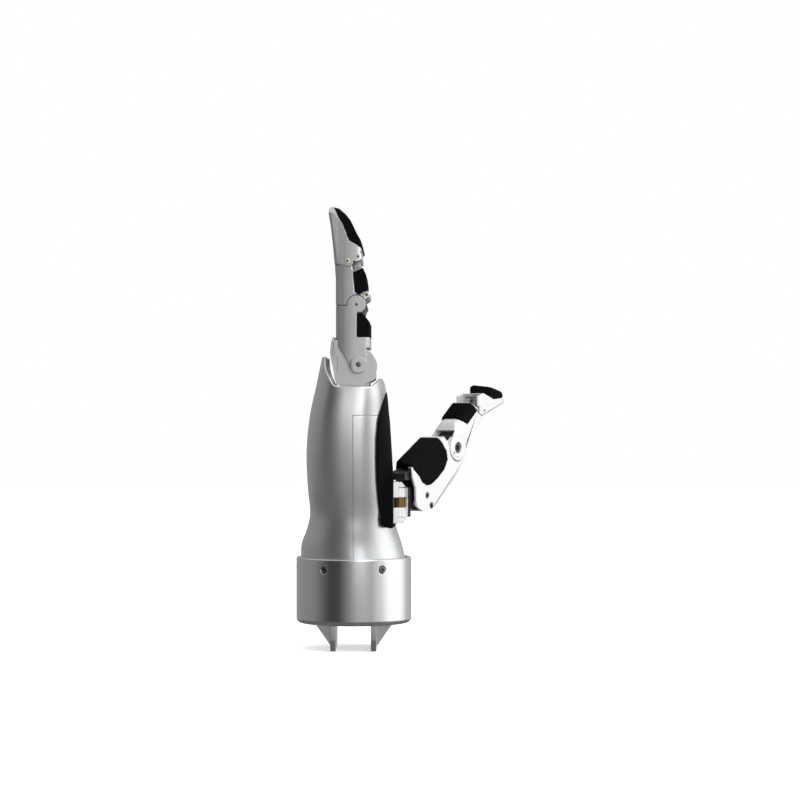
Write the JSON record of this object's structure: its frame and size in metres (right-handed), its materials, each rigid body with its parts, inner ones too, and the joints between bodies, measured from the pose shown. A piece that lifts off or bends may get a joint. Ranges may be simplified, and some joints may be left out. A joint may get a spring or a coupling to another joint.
{
  "type": "dexterous robot hand",
  "caption": "Left dexterous robot hand: linkage-driven fingers with black grip pads, an opposable thumb and a round wrist collar for mounting on an arm.",
  "frame": {"origin": "centre of the wrist collar's underside, which is the mounting face", "axes": "+Z from the wrist to the fingertips, +X out of the palm, -Y towards the index finger and the thumb's side, +Y towards the little finger"},
  "size_m": [0.1288, 0.1081, 0.2663],
  "materials": {
    "housing": "satin silver",
    "collar": "fine satin silver",
    "finger_silver": "satin silver",
    "thumb_white": "smooth white",
    "grip_pad": "matte, finely textured",
    "motor_black": "matte black",
    "dark_steel": "dark steel",
    "steel": "brushed",
    "chassis": "machined",
    "board": "green board",
    "brass": "turned brass"
  },
  "bodies": {
    "palm": {"wrist_collar": "collar", "collar_screws": "dark_steel", "mounting_plates": "collar", "palm_frame": "chassis", "palm_back_shell": "housing", "palm_front_shell": "housing", "palm_pad": "grip_pad", "finger_motors": "motor_black", "control_board": "board", "thumb_bracket": "thumb_white", "thumb_yaw_shaft": "steel", "middle_knuckle": "finger_silver"},
    "index_knuckle": {"index_knuckle": "finger_silver"},
    "index_proximal": {"index_proximal_shell": "finger_silver", "index_proximal_pad": "grip_pad"},
    "index_middle": {"index_middle_shell": "finger_silver", "index_middle_pad": "grip_pad"},
    "index_tip": {"index_tip_shell": "finger_silver", "index_tip_pad": "grip_pad"},
    "index_lower_link": {"index_lower_link": "steel"},
    "index_upper_link": {"index_upper_link": "steel"},
    "middle_proximal": {"middle_proximal_shell": "finger_silver", "middle_proximal_pad": "grip_pad"},
    "middle_middle": {"middle_middle_shell": "finger_silver", "middle_middle_pad": "grip_pad"},
    "middle_tip": {"middle_tip_shell": "finger_silver", "middle_tip_pad": "grip_pad"},
    "middle_lower_link": {"middle_lower_link": "steel"},
    "middle_upper_link": {"middle_upper_link": "steel"},
    "ring_knuckle": {"ring_knuckle": "finger_silver"},
    "ring_proximal": {"ring_proximal_shell": "finger_silver", "ring_proximal_pad": "grip_pad"},
    "ring_middle": {"ring_middle_shell": "finger_silver", "ring_middle_pad": "grip_pad"},
    "ring_tip": {"ring_tip_shell": "finger_silver", "ring_tip_pad": "grip_pad"},
    "ring_lower_link": {"ring_lower_link": "steel"},
    "ring_upper_link": {"ring_upper_link": "steel"},
    "little_knuckle": {"little_knuckle": "finger_silver"},
    "little_proximal": {"little_proximal_shell": "finger_silver", "little_proximal_pad": "grip_pad"},
    "little_middle": {"little_middle_shell": "finger_silver", "little_middle_pad": "grip_pad"},
    "little_tip": {"little_tip_shell": "finger_silver", "little_tip_pad": "grip_pad"},
    "little_lower_link": {"little_lower_link": "steel"},
    "little_upper_link": {"little_upper_link": "steel"},
    "thumb_base": {"thumb_bush": "brass", "thumb_yaw_block": "thumb_white", "thumb_pitch_arm": "motor_black"},
    "thumb_metacarpal": {"thumb_metacarpal_shell": "thumb_white", "thumb_metacarpal_pad": "grip_pad", "thumb_motor": "motor_black", "thumb_screws": "dark_steel", "thumb_knuckle_pins": "dark_steel"},
    "thumb_proximal": {"thumb_proximal_shell": "thumb_white", "thumb_proximal_pad": "grip_pad"},
    "thumb_tip": {"thumb_tip_shell": "thumb_white", "thumb_tip_pad": "grip_pad"},
    "thumb_link": {"thumb_link": "steel"}
  },
  "joints": [
    {"name": "index_swing", "type": "hinge", "parent": "palm", "child": "index_knuckle", "pos_m": [0, -0.0315, 0.1392], "axis": [1, 0, 0], "range_deg": [0, 12]},
    {"name": "index_bend", "type": "hinge", "parent": "index_knuckle", "child": "index_proximal", "pos_m": [0.0032, -0.0315, 0.1562], "axis": [0, 1, 0], "range_deg": [0, 75]},
    {"name": "index_middle_bend", "type": "hinge", "parent": "index_proximal", "child": "index_middle", "pos_m": [0.0021, -0.0315, 0.1919], "axis": [0, 1, 0], "range_deg": [0, 75]},
    {"name": "index_tip_bend", "type": "hinge", "parent": "index_middle", "child": "index_tip", "pos_m": [-0.0031, -0.0315, 0.2179], "axis": [0, 1, 0], "range_deg": [0, 41.25]},
    {"name": "index_lower_link_turn", "type": "hinge", "parent": "index_middle", "child": "index_lower_link", "pos_m": [0.0065, -0.0315, 0.1911], "axis": [0, 1, 0], "range_deg": [-90, 0]},
    {"name": "index_upper_link_turn", "type": "hinge", "parent": "index_tip", "child": "index_upper_link", "pos_m": [0.0028, -0.0315, 0.2145], "axis": [0, 1, 0], "range_deg": [-63.75, 0]},
    {"name": "middle_bend", "type": "hinge", "parent": "palm", "child": "middle_proximal", "pos_m": [0.0032, -0.0105, 0.1562], "axis": [0, 1, 0], "range_deg": [0, 75]},
    {"name": "middle_middle_bend", "type": "hinge", "parent": "middle_proximal", "child": "middle_middle", "pos_m": [0.0021, -0.0105, 0.1919], "axis": [0, 1, 0], "range_deg": [0, 75]},
    {"name": "middle_tip_bend", "type": "hinge", "parent": "middle_middle", "child": "middle_tip", "pos_m": [-0.0031, -0.0105, 0.2179], "axis": [0, 1, 0], "range_deg": [0, 41.25]},
    {"name": "middle_lower_link_turn", "type": "hinge", "parent": "middle_middle", "child": "middle_lower_link", "pos_m": [0.0065, -0.0105, 0.1911], "axis": [0, 1, 0], "range_deg": [-90, 0]},
    {"name": "middle_upper_link_turn", "type": "hinge", "parent": "middle_tip", "child": "middle_upper_link", "pos_m": [0.0028, -0.0105, 0.2145], "axis": [0, 1, 0], "range_deg": [-63.75, 0]},
    {"name": "ring_swing", "type": "hinge", "parent": "palm", "child": "ring_knuckle", "pos_m": [0, 0.0105, 0.1392], "axis": [-1, 0, 0], "range_deg": [0, 6]},
    {"name": "ring_bend", "type": "hinge", "parent": "ring_knuckle", "child": "ring_proximal", "pos_m": [0.0032, 0.0105, 0.1562], "axis": [0, 1, 0], "range_deg": [0, 66]},
    {"name": "ring_middle_bend", "type": "hinge", "parent": "ring_proximal", "child": "ring_middle", "pos_m": [0.0021, 0.0105, 0.1919], "axis": [0, 1, 0], "range_deg": [0, 66]},
    {"name": "ring_tip_bend", "type": "hinge", "parent": "ring_middle", "child": "ring_tip", "pos_m": [-0.0031, 0.0105, 0.2179], "axis": [0, 1, 0], "range_deg": [0, 36.3]},
    {"name": "ring_lower_link_turn", "type": "hinge", "parent": "ring_middle", "child": "ring_lower_link", "pos_m": [0.0065, 0.0105, 0.1911], "axis": [0, 1, 0], "range_deg": [-79.2, 0]},
    {"name": "ring_upper_link_turn", "type": "hinge", "parent": "ring_tip", "child": "ring_upper_link", "pos_m": [0.0028, 0.0105, 0.2145], "axis": [0, 1, 0], "range_deg": [-56.1, 0]},
    {"name": "little_swing", "type": "hinge", "parent": "palm", "child": "little_knuckle", "pos_m": [0, 0.0315, 0.1392], "axis": [-1, 0, 0], "range_deg": [0, 12]},
    {"name": "little_bend", "type": "hinge", "parent": "little_knuckle", "child": "little_proximal", "pos_m": [0.0032, 0.0315, 0.1562], "axis": [0, 1, 0], "range_deg": [0, 52]},
    {"name": "little_middle_bend", "type": "hinge", "parent": "little_proximal", "child": "little_middle", "pos_m": [0.0021, 0.0315, 0.1919], "axis": [0, 1, 0], "range_deg": [0, 52]},
    {"name": "little_tip_bend", "type": "hinge", "parent": "little_middle", "child": "little_tip", "pos_m": [-0.0031, 0.0315, 0.2179], "axis": [0, 1, 0], "range_deg": [0, 28.6]},
    {"name": "little_lower_link_turn", "type": "hinge", "parent": "little_middle", "child": "little_lower_link", "pos_m": [0.0065, 0.0315, 0.1911], "axis": [0, 1, 0], "range_deg": [-62.4, 0]},
    {"name": "little_upper_link_turn", "type": "hinge", "parent": "little_tip", "child": "little_upper_link", "pos_m": [0.0028, 0.0315, 0.2145], "axis": [0, 1, 0], "range_deg": [-44.2, 0]},
    {"name": "thumb_yaw", "type": "hinge", "parent": "palm", "child": "thumb_base", "pos_m": [0.0279, -0.02, 0.0737], "axis": [0, 0, -1], "range_deg": [0, 80]},
    {"name": "thumb_pitch", "type": "hinge", "parent": "thumb_base", "child": "thumb_metacarpal", "pos_m": [0.0339, -0.012, 0.0727], "axis": [-0.8, 0.6, 0], "range_deg": [-2, 28]},
    {"name": "thumb_bend", "type": "hinge", "parent": "thumb_metacarpal", "child": "thumb_proximal", "pos_m": [0.05682, 0.01856, 0.1059], "axis": [-0.8, 0.6, 0], "range_deg": [-50, 0]},
    {"name": "thumb_tip_bend", "type": "hinge", "parent": "thumb_proximal", "child": "thumb_tip", "pos_m": [0.0741, 0.0416, 0.12881], "axis": [-0.8, 0.6, 0], "range_deg": [-25, 0]},
    {"name": "thumb_link_turn", "type": "hinge", "parent": "thumb_tip", "child": "thumb_link", "pos_m": [0.07362, 0.04096, 0.13431], "axis": [-0.8, 0.6, 0], "range_deg": [0, 25]}
  ],
  "couplings": [
    {"joint": "index_middle_bend", "follows": "index_bend", "ratio": 1},
    {"joint": "index_tip_bend", "follows": "index_bend", "ratio": 0.55},
    {"joint": "index_lower_link_turn", "follows": "index_bend", "ratio": -1.2},
    {"joint": "index_upper_link_turn", "follows": "index_bend", "ratio": -0.85},
    {"joint": "middle_middle_bend", "follows": "middle_bend", "ratio": 1},
    {"joint": "middle_tip_bend", "follows": "middle_bend", "ratio": 0.55},
    {"joint": "middle_lower_link_turn", "follows": "middle_bend", "ratio": -1.2},
    {"joint": "middle_upper_link_turn", "follows": "middle_bend", "ratio": -0.85},
    {"joint": "ring_swing", "follows": "little_swing", "ratio": 0.5},
    {"joint": "ring_middle_bend", "follows": "ring_bend", "ratio": 1},
    {"joint": "ring_tip_bend", "follows": "ring_bend", "ratio": 0.55},
    {"joint": "ring_lower_link_turn", "follows": "ring_bend", "ratio": -1.2},
    {"joint": "ring_upper_link_turn", "follows": "ring_bend", "ratio": -0.85},
    {"joint": "little_middle_bend", "follows": "little_bend", "ratio": 1},
    {"joint": "little_tip_bend", "follows": "little_bend", "ratio": 0.55},
    {"joint": "little_lower_link_turn", "follows": "little_bend", "ratio": -1.2},
    {"joint": "little_upper_link_turn", "follows": "little_bend", "ratio": -0.85},
    {"joint": "thumb_tip_bend", "follows": "thumb_bend", "ratio": 0.5},
    {"joint": "thumb_link_turn", "follows": "thumb_bend", "ratio": -0.5}
  ]
}
